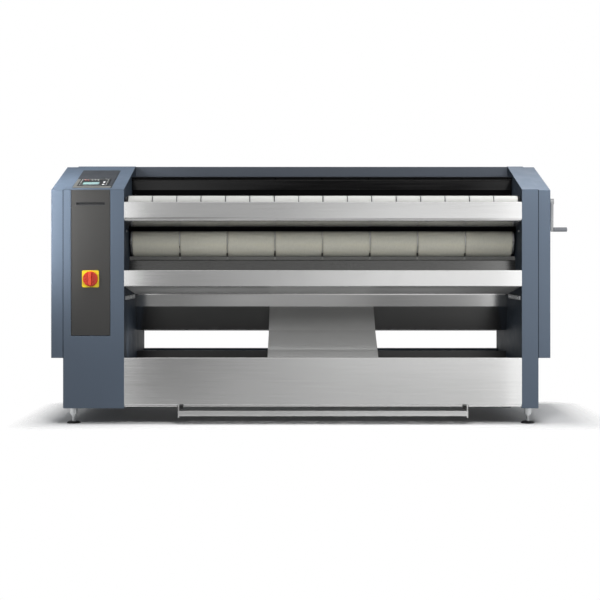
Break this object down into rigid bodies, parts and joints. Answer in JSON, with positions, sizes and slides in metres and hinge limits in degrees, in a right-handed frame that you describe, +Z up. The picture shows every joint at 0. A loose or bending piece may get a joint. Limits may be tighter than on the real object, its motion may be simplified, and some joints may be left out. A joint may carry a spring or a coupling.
{
  "type": "flatwork ironer",
  "caption": "Free-standing flatwork ironer: sheet housings carry a heated cylinder, ironing and feed belts, a finger guard, steel aprons, a chute, a foot bar and a hand crank.",
  "frame": {"origin": "middle of the whole machine's footprint, on the floor, crank and spigot included", "axes": "+X along the cylinder to the right as seen from the front, +Y to the back, +Z up"},
  "size_m": [2.697, 1.0904, 1.354],
  "materials": {
    "slate_paint": "satin powder coat",
    "back_paint": "satin powder coat",
    "plate_steel": "primed steel",
    "inlay_paint": "fine satin",
    "guard_black": "glossy",
    "dark_sheet": "matt black",
    "stainless": "brushed along the width",
    "mill_steel": "dull mill finish",
    "stripper_steel": "brushed",
    "zinc": "zinc plated",
    "foot_bar_steel": "brushed",
    "bracket_black": "black",
    "yellow_plate": "satin",
    "red_knob": "satin",
    "bezel_plastic": "fine texture",
    "display_glass": "clear over a lit panel",
    "key_white": "satin",
    "key_red": "satin",
    "key_grey": "satin",
    "belt_felt": "needle felt",
    "feed_web": "woven webbing",
    "drive_rubber": "matt",
    "polished_cylinder": "ground",
    "cast": "machined",
    "roller_steel": "turned",
    "heater_steel": "heat tinted",
    "motor_paint": "cast, painted",
    "duct_metal": "galvanised",
    "fan_plastic": "moulded",
    "gear_plastic": "moulded",
    "crank_steel": "nickel plated",
    "grip_metal": "turned"
  },
  "bodies": {
    "root": {"left_column_shell": "slate_paint", "right_column_shell": "slate_paint", "left_outer_cover": "slate_paint", "right_outer_cover": "slate_paint", "left_side_plate": "plate_steel", "right_side_plate": "plate_steel", "base_frame": "plate_steel", "levelling_feet": "zinc", "shaft_bearings": "cast", "ironing_belts": "belt_felt", "feed_belts": "feed_web", "heater": "heater_steel", "gear_motor": "motor_paint", "drive_belt": "drive_rubber", "exhaust_duct": "duct_metal", "top_beam": "slate_paint", "top_hood": "slate_paint", "rear_panels": "back_paint", "guard_hood": "dark_sheet", "feed_table": "mill_steel", "upper_apron": "stainless", "exit_trough": "stainless", "exit_slide": "mill_steel", "stripper_fingers": "stripper_steel", "wall_brackets": "zinc", "rear_cowl": "mill_steel", "centre_chute": "mill_steel", "lower_front_panel": "stainless", "collecting_tray": "mill_steel", "pedal_brackets": "bracket_black", "door_hinges": "zinc", "control_plate": "inlay_paint", "display_lens": "display_glass", "keypad_bezel": "bezel_plastic", "control_gear": "gear_plastic", "cable_gland": "zinc"},
    "cylinder": {"heated_cylinder": "polished_cylinder", "cylinder_ends": "cast"},
    "front_roller": {"front_belt_roller": "roller_steel"},
    "nip_roller": {"top_front_roller": "roller_steel"},
    "top_roller": {"top_rear_roller": "roller_steel"},
    "bottom_roller": {"bottom_rear_roller": "roller_steel"},
    "nose_roller": {"feed_nose_roller": "roller_steel"},
    "feed_roller": {"feed_rear_roller": "roller_steel"},
    "motor_shaft": {"motor_pulley": "cast"},
    "fan": {"fan_impeller": "fan_plastic"},
    "guard": {"finger_guard": "guard_black"},
    "pedal": {"foot_bar": "foot_bar_steel"},
    "door": {"service_door": "inlay_paint", "switch_plate": "yellow_plate"},
    "switch": {"switch_knob": "red_knob"},
    "crank": {"hand_crank": "crank_steel"},
    "grip": {"crank_grip": "grip_metal"},
    "large_key_1_cap": {"large_key_1": "key_white"},
    "large_key_2_cap": {"large_key_2": "key_white"},
    "small_key_1_cap": {"small_key_1": "key_red"},
    "small_key_2_cap": {"small_key_2": "key_red"},
    "small_key_3_cap": {"small_key_3": "key_grey"},
    "small_key_4_cap": {"small_key_4": "key_grey"},
    "small_key_5_cap": {"small_key_5": "key_grey"}
  },
  "joints": [
    {"name": "cylinder_turn", "type": "hinge", "parent": "root", "child": "cylinder", "pos_m": [0.042, 0.1402, 1.01], "axis": [1, 0, 0], "continuous": true},
    {"name": "front_roller_turn", "type": "hinge", "parent": "root", "child": "front_roller", "pos_m": [0.042, -0.2248, 0.941], "axis": [1, 0, 0], "continuous": true},
    {"name": "nip_roller_turn", "type": "hinge", "parent": "root", "child": "nip_roller", "pos_m": [0.042, -0.0998, 1.235], "axis": [1, 0, 0], "continuous": true},
    {"name": "top_roller_turn", "type": "hinge", "parent": "root", "child": "top_roller", "pos_m": [0.042, 0.3852, 1.235], "axis": [1, 0, 0], "continuous": true},
    {"name": "bottom_roller_turn", "type": "hinge", "parent": "root", "child": "bottom_roller", "pos_m": [0.042, 0.3752, 0.69], "axis": [1, 0, 0], "continuous": true},
    {"name": "nose_roller_turn", "type": "hinge", "parent": "root", "child": "nose_roller", "pos_m": [0.042, -0.4768, 1.1416], "axis": [1, 0, 0], "continuous": true},
    {"name": "feed_roller_turn", "type": "hinge", "parent": "root", "child": "feed_roller", "pos_m": [0.042, -0.1298, 1.1416], "axis": [1, 0, 0], "continuous": true},
    {"name": "motor_shaft_turn", "type": "hinge", "parent": "root", "child": "motor_shaft", "pos_m": [-1.0115, 0.1402, 0.52], "axis": [1, 0, 0], "continuous": true},
    {"name": "fan_turn", "type": "hinge", "parent": "root", "child": "fan", "pos_m": [-1.1315, 0.4202, 1.1], "axis": [0, 1, 0], "continuous": true},
    {"name": "crank_turn", "type": "hinge", "parent": "root", "child": "crank", "pos_m": [1.2055, -0.1848, 1.153], "axis": [1, 0, 0], "continuous": true},
    {"name": "grip_turn", "type": "hinge", "parent": "crank", "child": "grip", "pos_m": [1.2775, -0.1848, 1.004], "axis": [1, 0, 0], "continuous": true},
    {"name": "guard_swing", "type": "hinge", "parent": "root", "child": "guard", "pos_m": [0.042, -0.1608, 1.27], "axis": [1, 0, 0], "range_deg": [0, 12]},
    {"name": "pedal_press", "type": "hinge", "parent": "root", "child": "pedal", "pos_m": [0.042, -0.5168, 0.09], "axis": [1, 0, 0], "range_deg": [0, 12], "stiffness_Nm_per_rad": 8},
    {"name": "door_swing", "type": "hinge", "parent": "root", "child": "door", "pos_m": [-1.2375, -0.5078, 0.8275], "axis": [0, 0, -1], "range_deg": [0, 90]},
    {"name": "switch_turn", "type": "hinge", "parent": "door", "child": "switch", "pos_m": [-1.14675, -0.5148, 0.745], "axis": [0, 1, 0], "range_deg": [0, 90]},
    {"name": "large_key_1_press", "type": "slide", "parent": "root", "child": "large_key_1_cap", "axis": [0, 0.2688, -0.9632], "range_m": [0, 0.001], "stiffness_N_per_m": 300},
    {"name": "large_key_2_press", "type": "slide", "parent": "root", "child": "large_key_2_cap", "axis": [0, 0.2688, -0.9632], "range_m": [0, 0.001], "stiffness_N_per_m": 300},
    {"name": "small_key_1_press", "type": "slide", "parent": "root", "child": "small_key_1_cap", "axis": [0, 0.2688, -0.9632], "range_m": [0, 0.001], "stiffness_N_per_m": 300},
    {"name": "small_key_2_press", "type": "slide", "parent": "root", "child": "small_key_2_cap", "axis": [0, 0.2688, -0.9632], "range_m": [0, 0.001], "stiffness_N_per_m": 300},
    {"name": "small_key_3_press", "type": "slide", "parent": "root", "child": "small_key_3_cap", "axis": [0, 0.2688, -0.9632], "range_m": [0, 0.001], "stiffness_N_per_m": 300},
    {"name": "small_key_4_press", "type": "slide", "parent": "root", "child": "small_key_4_cap", "axis": [0, 0.2688, -0.9632], "range_m": [0, 0.001], "stiffness_N_per_m": 300},
    {"name": "small_key_5_press", "type": "slide", "parent": "root", "child": "small_key_5_cap", "axis": [0, 0.2688, -0.9632], "range_m": [0, 0.001], "stiffness_N_per_m": 300}
  ],
  "couplings": [
    {"joint": "front_roller_turn", "follows": "cylinder_turn", "ratio": -2.9412},
    {"joint": "nip_roller_turn", "follows": "cylinder_turn", "ratio": -6.25},
    {"joint": "top_roller_turn", "follows": "cylinder_turn", "ratio": -6.25},
    {"joint": "bottom_roller_turn", "follows": "cylinder_turn", "ratio": -6.25},
    {"joint": "nose_roller_turn", "follows": "cylinder_turn", "ratio": 9.2593},
    {"joint": "feed_roller_turn", "follows": "cylinder_turn", "ratio": 9.2593},
    {"joint": "motor_shaft_turn", "follows": "cylinder_turn", "ratio": 3.75}
  ]
}
